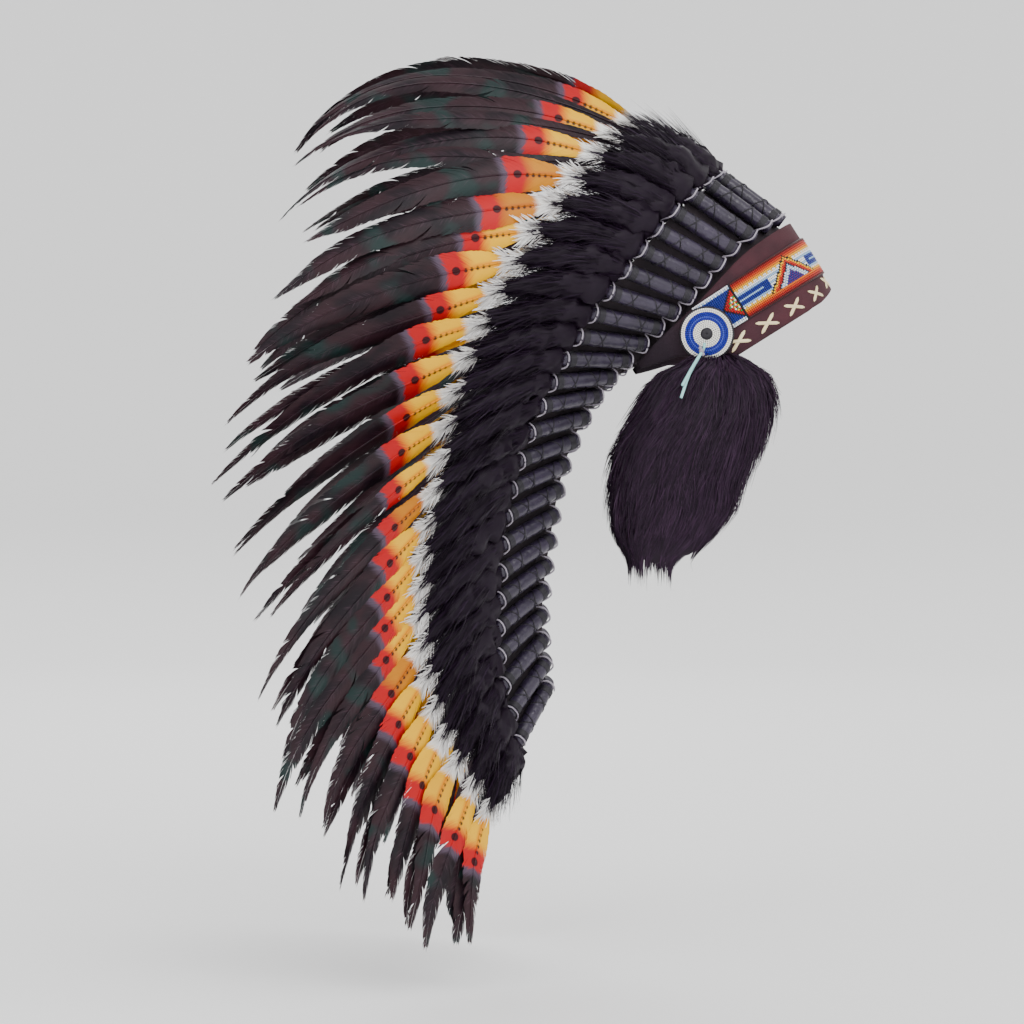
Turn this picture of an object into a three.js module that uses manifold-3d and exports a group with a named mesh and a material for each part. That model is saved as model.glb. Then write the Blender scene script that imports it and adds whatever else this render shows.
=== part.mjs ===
// A feathered headdress with a short trail, in millimetres, +Z up.
// The wearer faces -Y and the wearer's right is -X. The origin is the middle of the head ring.
// "Forward" below is -Y. Plumes are numbered from 0 at the centre front to 25 at the end of the
// trail. The wearer's left side is worked out, and the right side is its mirror image.
import * as THREE from 'three';
import { mergeVertices } from 'three/addons/utils/BufferGeometryUtils.js';
import Module from 'manifold-3d';

const wasm = await Module();
wasm.setup();

// The head ring: an ellipse in a plane that rises towards the front.
const RING_TILT = THREE.MathUtils.degToRad(32);
const RING_LENGTH = 100;       // half the ring's outside length, front to back
const RING_WIDTH = 80;         // half its outside width
const LEATHER = 2.4;
const GAP = 0.35;              // clearance between two pieces that lie on each other

// The headband: its lower edge at angles round the ring from the front, degrees and mm.
const HEADBAND_END = 11;       // the plume at which the headband stops on each side
const HEADBAND_BELOW_WRAPS = 5;
const LOWER_EDGE = [
  { angle: 0, height: -31 },
  { angle: 35, height: -38 },
  { angle: 92, height: -38 },
  { angle: 117, height: -13.4 },
  { angle: 141, height: -4.5 },
];

// The beaded band and the rosettes that cover its two ends.
const BEAD_BAND_LOW = -18.3;
const BEAD_BAND_HIGH = 16.5;
const BEAD_BAND_NARROWS = 2.5; // how much lower its top edge is at the sides
const BEAD_BAND_THICKNESS = 2.2;
const BEAD_BAND_SECTIONS = 26;
const ROSETTE_ANGLE = 99;
const ROSETTE_HEIGHT = -10.5;
const ROSETTE_RADIUS = 22.2;
const ROSETTE_THICKNESS = 3.4;
const ROSETTE_SIDES = 20;

// The plumes: a leather-wrapped stem, a bush of down and two long vanes.
const LAST_PLUME = 25;
const WRAP_LENGTH = 66;
const WRAP_RADIUS = 6.5;
const STEM_SIDES = 6;
const DOWN_WIDEST = 14;
const DOWN_CLEARANCE = 0.8;
// The down: how far out, from the wrap to the painted part, how much of the room between the
// plumes it fills, and half its thickness.
const DOWN_ROWS = [
  { share: 0.08, fill: 0.95, thick: 10 },
  { share: 0.45, fill: 1, thick: 14 },
  { share: 0.8, fill: 0.6, thick: 5 },
];

// The long feather past the down: the distance of each section from the start of its painted
// part, in mm and in shares of the vane's length, and its width.
const VANE_THICKNESS = 1.6;
const VANE_ROWS = [
  { past: -14, share: 0, wide: 20 },
  { past: 16, share: 0, wide: 22 },
  { past: 0, share: 0.35, wide: 17 },
  { past: 0, share: 0.72, wide: 17 },
  { past: 0, share: 1, wide: 2.4 },
];
const VANE_LENGTHS = [1, 0.9, 1];       // some are clipped shorter, in turn along the row

// The dark vane that lies behind it and runs out beside it: the same distance in shares of the
// down's and of its own length, its width, and how far it is over towards the next plume.
const DARK_VANE_BEHIND = 5.5;
const DARK_VANE_ROWS = [
  { down: -0.42, share: 0, wide: 6, over: 0 },
  { down: 0, share: 0.24, wide: 15.3, over: 0.8 },
  { down: 0, share: 0.65, wide: 17, over: 1 },
  { down: 0, share: 1, wide: 2.4, over: 1 },
];
const DARK_VANE_LENGTHS = [0.78, 0.88]; // as shares of the vane's length, in turn

// Where each plume's wrap starts, how its shaft leans over (degrees turned up and over from
// straight forward) at the wrap, in the down, along the vane and at the tip, how far it flares
// out to the side, and its length from the wrap to the painted part and from there to the tip.
const PLUME_COLUMNS = [
  'plume', 'forward', 'side', 'up', 'wrap', 'down', 'vane', 'tip', 'flare', 'reach', 'sweep',
];
const PLUME_ROWS = [
  [0, 61.4, 0, 82, 143.5, 150, 182, 242, 0, 119, 268],
  [2, 46.2, 44.4, 72, 144.5, 159, 188, 236, 6, 120, 258],
  [4, 17.9, 68, 50.7, 149, 170, 199, 226, 13, 120, 240],
  [7, -18, 75.5, 12, 159.5, 185, 206, 226, 18, 130, 230],
  [10, -56, 60.5, -25, 175, 200, 213, 230, 25, 134, 224],
  [13, -94, 46, -66, 192, 216, 225, 240, 36, 142, 196],
  [16, -121, 41, -123, 204, 224, 235, 252, 36, 140, 188],
  [19, -133, 38, -185, 212, 228, 242, 262, 36, 136, 162],
  [22, -140, 35, -247, 221.5, 241, 253, 268, 37, 124, 136],
  [25, -137, 32, -307, 240, 249, 258, 270, 36, 100, 94],
].map((row) => Object.fromEntries(PLUME_COLUMNS.map((name, column) => [name, row[column]])));

// A row ahead of the first, mirrored, so that the table runs smoothly over the centre front.
const [, SECOND] = PLUME_ROWS;
const PLUME_TABLE = [
  { ...SECOND, plume: -SECOND.plume, side: -SECOND.side, flare: -SECOND.flare },
  ...PLUME_ROWS,
];

// The backing strip that carries the plumes, round the crown and down both edges of the trail.
const STRIP_THICKNESS = 2;
const STRIP_START = -3;        // where it bends to follow the wraps, and its free edge
const STRIP_END = 61;
const STRIP_TUCK = 10;         // how far it reaches down inside the headband
const STRIP_GAP = 0.55;
const PANEL_TOP = 11.5;        // the plume at which the trail's panel starts
const PANEL_STEP = 1.5;
const PANEL_BULGE = 17;
const PANEL_STRAIGHT = 8;      // the panel is flat this many plumes below its top

// The fur drops: level, middle, half length and half thickness of each section, and its place
// to the side.
const FUR_ROWS = [
  { up: -41.4, forward: 0, long: 30, thick: 5, side: 86 },
  { up: -50, forward: -3, long: 46, thick: 9, side: 89 },
  { up: -66, forward: -5, long: 52, thick: 13, side: 93 },
  { up: -85, forward: -10, long: 56, thick: 15, side: 96 },
  { up: -114, forward: -23, long: 57, thick: 15.5, side: 98 },
  { up: -141, forward: -31, long: 51, thick: 14, side: 98 },
  { up: -162, forward: -34, long: 47, thick: 12, side: 98 },
  { up: -189, forward: -43, long: 35, thick: 9, side: 97 },
  { up: -205, forward: -51, long: 20, thick: 5, side: 97 },
];
const FUR_SIDES = 12;
const FUR_TIP_LENGTH = 42;
const FUR_TIPS = [
  { forward: -61, up: -217, root: 9 },
  { forward: -43, up: -227, root: 9 },
  { forward: -14, up: -200, root: 8 },
];

// The turquoise laces: points from the rosette's middle through the knot to each free end.
const LACE_RADIUS = 1.2;
const KNOT_RADIUS = 3;
const KNOT_DROP = new THREE.Vector3(0, 4, -14);
const LACE_ENDS = [
  { forward: -30, up: -61, side: 113 },
  { forward: -31, up: -71, side: 115 },
];

const SUEDE = { color: 0x4a2226, roughness: 0.9, metalness: 0 };
const BACKING = { color: 0x1a141a, roughness: 0.9, metalness: 0 };
const BEADS = { color: 0xe8a53a, roughness: 0.3, metalness: 0 };
const ROSETTE = { color: 0xeeeeea, roughness: 0.3, metalness: 0 };
const LACE = { color: 0x8fd8d2, roughness: 0.7, metalness: 0 };
const FUR = { color: 0x1c1218, roughness: 0.9, metalness: 0 };
const PLUME = { color: 0x231a24, roughness: 0.8, metalness: 0 };

const TO_THE_RIGHT = new THREE.Vector3(-1, 1, 1);

// ---- Shapes ----

// A closed body through rings of points, each ring with as many points as the first. Its faces up
// to the middle ring are cut the other way, so that the halves of a symmetric body match, and so
// are those on the back of a wall, so that its two faces stay side by side.
function loft(rings, { middle = 0, wall = false } = {}) {
  const sides = rings[0].length;
  const positions = rings.flat().flatMap((point) => point.toArray());
  const faces = [];
  for (let ring = 0; ring < rings.length - 1; ring += 1) {
    for (let side = 0; side < sides; side += 1) {
      const a = ring * sides + side;
      const b = ring * sides + ((side + 1) % sides);
      const onTheBack = wall && side < sides / 2;
      if ((ring < middle) !== onTheBack) {
        faces.push(a, b, a + sides, b, b + sides, a + sides);
      } else {
        faces.push(a, b, b + sides, a, b + sides, a + sides);
      }
    }
  }
  const last = (rings.length - 1) * sides;
  for (let side = 1; side < sides - 1; side += 1) {
    faces.push(0, side + 1, side, last, last + side, last + side + 1);
  }
  const geometry = new THREE.BufferGeometry();
  geometry.setAttribute('position', new THREE.Float32BufferAttribute(positions, 3));
  geometry.setIndex(faces);
  return facingOut(geometry);
}

// Turns a closed body's faces over if they point in.
function facingOut(geometry) {
  const index = geometry.index.array;
  const corner = [0, 1, 2].map(() => new THREE.Vector3());
  let volume = 0;
  for (let face = 0; face < index.length; face += 3) {
    corner.forEach((point, i) => point.fromBufferAttribute(geometry.attributes.position, index[face + i]));
    volume += corner[0].dot(corner[1].clone().cross(corner[2]));
  }
  if (volume < 0) {
    for (let face = 0; face < index.length; face += 3) {
      [index[face + 1], index[face + 2]] = [index[face + 2], index[face + 1]];
    }
  }
  return geometry;
}

function toSolid(geometry) {
  const bare = geometry.clone();
  bare.deleteAttribute('normal');
  bare.deleteAttribute('uv');
  const merged = mergeVertices(bare, 1e-4);
  return new wasm.Manifold(new wasm.Mesh({
    numProp: 3,
    vertProperties: new Float32Array(merged.attributes.position.array),
    triVerts: new Uint32Array(merged.index.array),
  }));
}

// Joins overlapping bodies into one.
function fuse(geometries) {
  const joined = geometries.map(toSolid).reduce((whole, next) => whole.add(next)).getMesh();
  const geometry = new THREE.BufferGeometry();
  geometry.setAttribute('position', new THREE.BufferAttribute(new Float32Array(joined.vertProperties), 3));
  geometry.setIndex([...joined.triVerts]);
  return geometry;
}

function mirrored(geometry) {
  return facingOut(geometry.clone().scale(...TO_THE_RIGHT.toArray()));
}

function makeNode(name, geometry, look) {
  const mesh = new THREE.Mesh(geometry, new THREE.MeshStandardMaterial(look));
  mesh.name = name;
  return mesh;
}

// ---- The ring and the plume table ----

function ringPoint(angle, height, inset) {
  const along = (RING_LENGTH - inset) * Math.cos(angle);
  const side = (RING_WIDTH - inset) * Math.sin(angle);
  const forward = along * Math.cos(RING_TILT) - height * Math.sin(RING_TILT);
  const up = along * Math.sin(RING_TILT) + height * Math.cos(RING_TILT);
  return new THREE.Vector3(side, -forward, up);
}

// The angle round the ring and the height over it of any point.
function onRing(point) {
  const along = -point.y * Math.cos(RING_TILT) + point.z * Math.sin(RING_TILT);
  const height = point.y * Math.sin(RING_TILT) + point.z * Math.cos(RING_TILT);
  return { angle: Math.atan2(point.x / RING_WIDTH, along / RING_LENGTH), height };
}

// A value between the rows of a table, straight from row to row.
function between(rows, key, at, name) {
  const next = rows.findIndex((row) => row[key] >= at);
  if (next === -1) return rows[rows.length - 1][name];
  if (next === 0) return rows[0][name];
  const share = (at - rows[next - 1][key]) / (rows[next][key] - rows[next - 1][key]);
  return THREE.MathUtils.lerp(rows[next - 1][name], rows[next][name], share);
}

// A column of the plume table at any plume number, smooth through its rows.
function plumeValue(name, number) {
  const table = PLUME_TABLE;
  const row = Math.min(table.length - 2, table.findLastIndex((each) => each.plume <= number));
  const slope = (i) => {
    const before = table[Math.max(0, i - 1)];
    const after = table[Math.min(table.length - 1, i + 1)];
    return (after[name] - before[name]) / (after.plume - before.plume);
  };
  const span = table[row + 1].plume - table[row].plume;
  const t = (number - table[row].plume) / span;
  return (2 * t ** 3 - 3 * t ** 2 + 1) * table[row][name]
    + (t ** 3 - 2 * t ** 2 + t) * span * slope(row)
    + (3 * t ** 2 - 2 * t ** 3) * table[row + 1][name]
    + (t ** 3 - t ** 2) * span * slope(row + 1);
}

function wrapStart(number) {
  const value = (name) => plumeValue(name, number);
  return new THREE.Vector3(value('side'), -value('forward'), value('up'));
}

function heading(lean, flare) {
  const up = THREE.MathUtils.degToRad(lean);
  const out = THREE.MathUtils.degToRad(flare);
  const inPlane = Math.cos(out);
  return new THREE.Vector3(Math.sin(out), -inPlane * Math.cos(up), inPlane * Math.sin(up));
}

function wrapMiddle(number) {
  const pointing = heading(plumeValue('wrap', number), plumeValue('flare', number));
  return wrapStart(number).addScaledVector(pointing, WRAP_LENGTH / 2);
}

// The way from the middle of a wrap to the next one's.
function rowDirection(number) {
  const reach = 0.02;
  return wrapMiddle(number + reach).sub(wrapMiddle(number - reach)).normalize();
}

// A plume's shaft: its length, and a place and directions at any distance along it.
function plumeShaft(number) {
  const value = (name) => plumeValue(name, number);
  const length = WRAP_LENGTH + value('reach') + value('sweep');
  const bends = [
    { at: 0, lean: value('wrap'), flare: value('flare') },
    { at: WRAP_LENGTH, lean: value('wrap'), flare: value('flare') },
    { at: WRAP_LENGTH + 0.5 * value('reach'), lean: value('down'), flare: 0.9 * value('flare') },
    { at: length - 0.55 * value('sweep'), lean: value('vane'), flare: 0.6 * value('flare') },
    { at: length, lean: value('tip'), flare: 0.35 * value('flare') },
  ];
  const step = 3;
  const points = [wrapStart(number)];
  const bend = (name, at) => between(bends, 'at', at, name);
  const headingAt = (at) => heading(bend('lean', at), bend('flare', at));
  for (let at = 0; at < length + step; at += step) {
    const previous = points[points.length - 1];
    points.push(previous.clone().addScaledVector(headingAt(at + step / 2), step));
  }
  const row = rowDirection(number);
  const frame = (at) => {
    const cell = Math.min(points.length - 2, Math.floor(at / step));
    const point = points[cell].clone().lerp(points[cell + 1], at / step - cell);
    const along = headingAt(at);
    const across = row.clone().addScaledVector(along, -row.dot(along)).normalize();
    return { point, along, across, out: across.clone().cross(along) };
  };
  const [reach, sweep] = [value('reach'), value('sweep')];
  return { number, frame, painted: WRAP_LENGTH + reach, reach, sweep };
}

// Half the way across from a plume to its neighbour, at a distance along it.
function halfWayTo(neighbour, shaft, at) {
  const { point, across } = shaft.frame(at);
  return Math.abs(plumeShaft(neighbour).frame(at).point.sub(point).dot(across)) / 2;
}

function roomAt(shaft, at) {
  const before = shaft.number === 0 ? 1 : shaft.number - 1;
  const after = Math.min(LAST_PLUME, shaft.number + 1);
  return Math.min(...[before, after].filter((number) => number !== shaft.number)
    .map((number) => halfWayTo(number, shaft, at)));
}

// ---- The sub-parts ----

function lowerEdge(angle) {
  return between(LOWER_EDGE, 'angle', Math.abs(THREE.MathUtils.radToDeg(angle)), 'height');
}

// The headband, a leather wall round the front and sides of the ring.
function makeHeadband() {
  const rings = [];
  for (let number = -HEADBAND_END; number <= HEADBAND_END; number += 0.5) {
    const { angle, height } = onRing(wrapStart(Math.abs(number)));
    const place = Math.sign(number) * angle;
    const high = height - HEADBAND_BELOW_WRAPS;
    rings.push([
      ringPoint(place, lowerEdge(angle), 0),
      ringPoint(place, high, 0),
      ringPoint(place, high, LEATHER),
      ringPoint(place, lowerEdge(angle), LEATHER),
    ]);
  }
  return makeNode('headband', loft(rings), SUEDE);
}

// The middle line of the backing strip at a plume: from inside the headband, or from the
// trail's panel, out along the wrap.
function stripLine(number) {
  const { point, along, across, out } = plumeShaft(number).frame(0);
  const under = WRAP_RADIUS * Math.cos(Math.PI / STEM_SIDES) + STRIP_GAP + STRIP_THICKNESS / 2;
  const backing = (at) => point.clone().addScaledVector(out, -under).addScaledVector(along, at);
  const { angle, height } = onRing(point);
  const top = height - HEADBAND_BELOW_WRAPS;
  const inset = LEATHER + GAP + STRIP_THICKNESS / 2;
  const onTrail = THREE.MathUtils.smoothstep(number, HEADBAND_END - 1.5, HEADBAND_END + 1.5);
  const bend = backing(STRIP_START);
  const inward = (distance) => bend.clone().add(new THREE.Vector3(-distance, 0, 0));
  const tucked = ringPoint(angle, Math.max(top - STRIP_TUCK, lowerEdge(angle) + 1), inset);
  const turned = ringPoint(angle, top - STRIP_TUCK / 2, inset);
  return {
    across,
    line: [
      tucked.lerp(inward(STRIP_TUCK), onTrail),
      turned.lerp(inward(STRIP_TUCK / 2), onTrail),
      bend,
      backing(STRIP_END),
    ],
  };
}

// A section of a wall: its middle line thickened to both sides.
function wallSection(line, across) {
  const face = (side) => line.map((point, i) => {
    const before = line[Math.max(0, i - 1)];
    const after = line[Math.min(line.length - 1, i + 1)];
    const normal = after.clone().sub(before).cross(across).normalize();
    return point.clone().addScaledVector(normal, (side * STRIP_THICKNESS) / 2);
  });
  return [...face(1), ...face(-1).reverse()];
}

// The panel of the trail, bowed back round the head at its top.
function makePanel() {
  const rings = [];
  for (let number = PANEL_TOP; number <= LAST_PLUME; number += PANEL_STEP) {
    const left = stripLine(number).line[0];
    const right = left.clone().multiply(TO_THE_RIGHT);
    const bulge = PANEL_BULGE * Math.max(0, 1 - (number - PANEL_TOP) / PANEL_STRAIGHT);
    const line = [0.02, 0.25, 0.5, 0.75, 0.98].map((share) => {
      const point = left.clone().lerp(right, share);
      point.y += bulge * Math.sin(Math.PI * share);
      return point;
    });
    const down = stripLine(number + 0.1).line[0].sub(left);
    rings.push(wallSection(line, new THREE.Vector3(0, down.y, down.z).normalize()));
  }
  return loft(rings);
}

function makeFeatherStrip() {
  const left = [];
  for (let number = 0; number <= LAST_PLUME; number += 1) {
    const { line, across } = stripLine(number);
    left.push(wallSection(line, across));
  }
  const right = left.slice(1).reverse().map((ring) => ring.map((point) => (
    point.clone().multiply(TO_THE_RIGHT))));
  const strip = loft([...right, ...left], { middle: right.length, wall: true });
  return makeNode('feather_strip', fuse([strip, makePanel()]), BACKING);
}

function makeBeadedBand() {
  const rings = [];
  const outer = -GAP - BEAD_BAND_THICKNESS;
  for (let section = 0; section <= BEAD_BAND_SECTIONS; section += 1) {
    const angle = THREE.MathUtils.degToRad(ROSETTE_ANGLE * (2 * (section / BEAD_BAND_SECTIONS) - 1));
    const high = BEAD_BAND_HIGH - BEAD_BAND_NARROWS * (1 - Math.cos(angle));
    rings.push([
      ringPoint(angle, BEAD_BAND_LOW, outer),
      ringPoint(angle, high, outer),
      ringPoint(angle, high, -GAP),
      ringPoint(angle, BEAD_BAND_LOW, -GAP),
    ]);
  }
  return makeNode('beaded_band', loft(rings), BEADS);
}

// The middle of the rosette's back and the direction that it faces.
function rosettePlace() {
  const angle = THREE.MathUtils.degToRad(ROSETTE_ANGLE);
  const back = ringPoint(angle, ROSETTE_HEIGHT, -2 * GAP - BEAD_BAND_THICKNESS);
  const alongRing = ringPoint(angle + 0.05, 0, 0).sub(ringPoint(angle - 0.05, 0, 0));
  const upright = ringPoint(0, 1, 0).sub(ringPoint(0, 0, 0));
  return { back, facing: alongRing.cross(upright).normalize() };
}

function makeRosette() {
  const { back, facing } = rosettePlace();
  const profile = [
    { radius: 0, height: 0 },
    { radius: ROSETTE_RADIUS, height: 0 },
    { radius: ROSETTE_RADIUS, height: 0.5 * ROSETTE_THICKNESS },
    { radius: 0.9 * ROSETTE_RADIUS, height: 0.9 * ROSETTE_THICKNESS },
    { radius: 0, height: ROSETTE_THICKNESS },
  ].map(({ radius, height }) => new THREE.Vector2(radius, height));
  const turn = new THREE.Quaternion().setFromUnitVectors(new THREE.Vector3(0, 1, 0), facing);
  return new THREE.LatheGeometry(profile, ROSETTE_SIDES).applyQuaternion(turn).translate(...back.toArray());
}

// A tube of an even section along a smooth curve through points.
function tube(points, radius, steps) {
  const sides = 8;
  const shape = new THREE.Shape(Array.from({ length: sides }, (_, i) => (
    new THREE.Vector2(radius, 0).rotateAround(new THREE.Vector2(), (2 * Math.PI * i) / sides))));
  return new THREE.ExtrudeGeometry(shape, { steps, extrudePath: new THREE.CatmullRomCurve3(points) });
}

// The lace: out of the rosette's middle, a knot on its rim, and two ends lying on the fur.
function makeTie() {
  const { back, facing } = rosettePlace();
  const lift = ROSETTE_THICKNESS + GAP + LACE_RADIUS;
  const start = back.clone().addScaledVector(facing, lift);
  const knot = start.clone().addScaledVector(facing, KNOT_RADIUS - LACE_RADIUS).add(KNOT_DROP);
  const [first, second] = LACE_ENDS.map(({ forward, up, side }) => {
    const end = new THREE.Vector3(side, -forward, up);
    return [knot, knot.clone().lerp(end, 0.5).addScaledVector(facing, 3), end];
  });
  const bead = new THREE.OctahedronGeometry(KNOT_RADIUS).translate(...knot.toArray());
  return fuse([tube([start, ...first], LACE_RADIUS, 8), tube(second, LACE_RADIUS, 6), bead]);
}

// A fur drop: a full tuft with a ridged surface, and locks at its lower end.
function makeFurDrop() {
  const body = loft(FUR_ROWS.map(({ up, forward, long, thick, side }) => (
    Array.from({ length: FUR_SIDES }, (_, i) => {
      const angle = (2 * Math.PI * i) / FUR_SIDES;
      const ridge = i % 2 ? 0.9 : 1;
      return new THREE.Vector3(
        side + ridge * thick * Math.sin(angle),
        -forward - ridge * long * Math.cos(angle),
        up,
      );
    }))));
  const { side } = FUR_ROWS[FUR_ROWS.length - 1];
  const locks = FUR_TIPS.map(({ forward, up, root }) => (
    new THREE.ConeGeometry(root, FUR_TIP_LENGTH, 6)
      .rotateX(-Math.PI / 2)
      .scale(0.55, 1, 1)
      .translate(side, -forward, up + FUR_TIP_LENGTH / 2)));
  return fuse([body, ...locks]);
}

// A section square to a shaft: corners evenly round an ellipse.
function shaftRing({ point, across, out }, wide, thick, sides = STEM_SIDES, shift = { across: 0, out: 0 }) {
  return Array.from({ length: sides }, (_, i) => {
    const angle = (2 * Math.PI * i) / sides;
    return point.clone()
      .addScaledVector(across, shift.across + wide * Math.cos(angle))
      .addScaledVector(out, shift.out + thick * Math.sin(angle));
  });
}

// The main feather of a plume: its wrapped stem, its bush of down, its painted part and vane.
function makeMainFeather(shaft) {
  const rings = [0, WRAP_LENGTH].map((at) => shaftRing(shaft.frame(at), WRAP_RADIUS, WRAP_RADIUS));
  DOWN_ROWS.forEach(({ share, fill, thick }) => {
    const at = WRAP_LENGTH + share * shaft.reach;
    const wide = fill * Math.min(DOWN_WIDEST, roomAt(shaft, at) - DOWN_CLEARANCE);
    rings.push(shaftRing(shaft.frame(at), wide, thick));
  });
  const length = VANE_LENGTHS[shaft.number % VANE_LENGTHS.length] * shaft.sweep;
  VANE_ROWS.forEach(({ past, share, wide }) => {
    const at = shaft.painted + past + share * length;
    rings.push(shaftRing(shaft.frame(at), wide / 2, VANE_THICKNESS / 2));
  });
  return loft(rings, { wall: true });
}

// The dark vane. The one at the centre front stays behind its own feather.
function makeDarkVane(shaft) {
  const length = DARK_VANE_LENGTHS[shaft.number % DARK_VANE_LENGTHS.length] * shaft.sweep;
  const rings = DARK_VANE_ROWS.map(({ down, share, wide, over }) => {
    const at = shaft.painted + down * shaft.reach + share * length;
    const across = shaft.number === 0 ? 0 : over * roomAt(shaft, at);
    const shift = { across, out: -DARK_VANE_BEHIND };
    return shaftRing(shaft.frame(at), wide / 2, VANE_THICKNESS / 2, 4, shift);
  });
  return loft(rings, { wall: true });
}

function makePlume(number) {
  const shaft = plumeShaft(number);
  return fuse([makeMainFeather(shaft), makeDarkVane(shaft)]);
}

const group = new THREE.Group();

// Adds a piece on the wearer's left and its mirror image on the right.
function addPair(leftName, rightName, geometry, look) {
  group.add(makeNode(leftName, geometry, look), makeNode(rightName, mirrored(geometry), look));
}

group.add(makeHeadband(), makeFeatherStrip(), makeBeadedBand());
addPair('rosette_l', 'rosette_r', makeRosette(), ROSETTE);
addPair('tie_l', 'tie_r', makeTie(), LACE);
addPair('fur_drop_l', 'fur_drop_r', makeFurDrop(), FUR);
group.add(makeNode('plume_c', makePlume(0), PLUME));
for (let number = 1; number <= LAST_PLUME; number += 1) {
  const digits = String(number).padStart(2, '0');
  addPair(`plume_l${digits}`, `plume_r${digits}`, makePlume(number), PLUME);
}

export default group;
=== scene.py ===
"""The looks of a feathered headdress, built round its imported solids. Lengths in the code are in
millimetres, in the part's frame: +Z up, the wearer facing -Y, the wearer's right at -X."""
import math

import bpy
import numpy as np
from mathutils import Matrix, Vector


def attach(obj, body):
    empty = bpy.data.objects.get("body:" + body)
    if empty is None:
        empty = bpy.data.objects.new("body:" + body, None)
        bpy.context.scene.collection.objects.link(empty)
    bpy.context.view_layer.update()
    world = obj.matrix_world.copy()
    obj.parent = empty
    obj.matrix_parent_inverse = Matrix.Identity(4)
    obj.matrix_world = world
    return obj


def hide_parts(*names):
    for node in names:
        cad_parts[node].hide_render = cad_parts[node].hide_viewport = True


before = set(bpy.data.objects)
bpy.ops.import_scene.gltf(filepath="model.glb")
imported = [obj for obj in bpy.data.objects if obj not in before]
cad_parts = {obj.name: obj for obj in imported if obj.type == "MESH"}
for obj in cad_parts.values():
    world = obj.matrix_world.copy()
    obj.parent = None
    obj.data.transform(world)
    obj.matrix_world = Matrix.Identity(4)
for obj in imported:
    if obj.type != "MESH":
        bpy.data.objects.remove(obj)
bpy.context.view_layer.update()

MM = 0.001
SIDES = ((1, "l"), (-1, "r"))  # the sign of X and the letter in the names

# The head ring, by its half length and half width, and what is on it, as in the solids.
RING_TILT = math.radians(32)
RING_LENGTH, RING_WIDTH = 100, 80
TILT_COS, TILT_SIN = math.cos(RING_TILT), math.sin(RING_TILT)
RING_UP = np.array([0, TILT_SIN, TILT_COS])
LEATHER = 2.4
GAP = 0.35
BAND_LOW, BAND_HIGH, BAND_NARROWS, BAND_THICK = -18.3, 16.5, 2.5, 2.2
ROSETTE_ANGLE, ROSETTE_HEIGHT = math.radians(99), -10.5
ROSETTE_RADIUS, ROSETTE_THICK = 22.2, 3.4
LOWER_EDGE = [(0, -31), (35, -38), (92, -38), (117, -13.4), (141, -4.5)]  # degrees, height

# The plumes, as in the solids: start, lean at the wrap, in the down, on the vane and at the tip,
# flare, and the lengths of the down and of the vane. WRAP is the length of the leather wrap.
LAST_PLUME = 25
WRAP = 66
PLUME_COLUMNS = "plume forward side up wrap down vane tip flare reach sweep".split()
PLUME_ROWS = [
    (0, 61.4, 0, 82, 143.5, 150, 182, 242, 0, 119, 268),
    (2, 46.2, 44.4, 72, 144.5, 159, 188, 236, 6, 120, 258),
    (4, 17.9, 68, 50.7, 149, 170, 199, 226, 13, 120, 240),
    (7, -18, 75.5, 12, 159.5, 185, 206, 226, 18, 130, 230),
    (10, -56, 60.5, -25, 175, 200, 213, 230, 25, 134, 224),
    (13, -94, 46, -66, 192, 216, 225, 240, 36, 142, 196),
    (16, -121, 41, -123, 204, 224, 235, 252, 36, 140, 188),
    (19, -133, 38, -185, 212, 228, 242, 262, 36, 136, 162),
    (22, -140, 35, -247, 221.5, 241, 253, 268, 37, 124, 136),
    (25, -137, 32, -307, 240, 249, 258, 270, 36, 100, 94),
]
# The other side's second row goes in front, so that the curves pass the middle smoothly.
SIGNS = [-1 if name in ("plume", "side", "flare") else 1 for name in PLUME_COLUMNS]
PLUME_TABLE = np.array([np.multiply(SIGNS, PLUME_ROWS[1]), *PLUME_ROWS])


# ---- Meshes ----

CLOSED_END = 0.02


def unit(vectors):
    return vectors / np.maximum(np.linalg.norm(vectors, axis=-1, keepdims=True), 1e-9)


def turns(count):
    """Angles evenly spaced round a circle."""
    return np.linspace(0, 2 * np.pi, count, endpoint=False)


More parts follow.
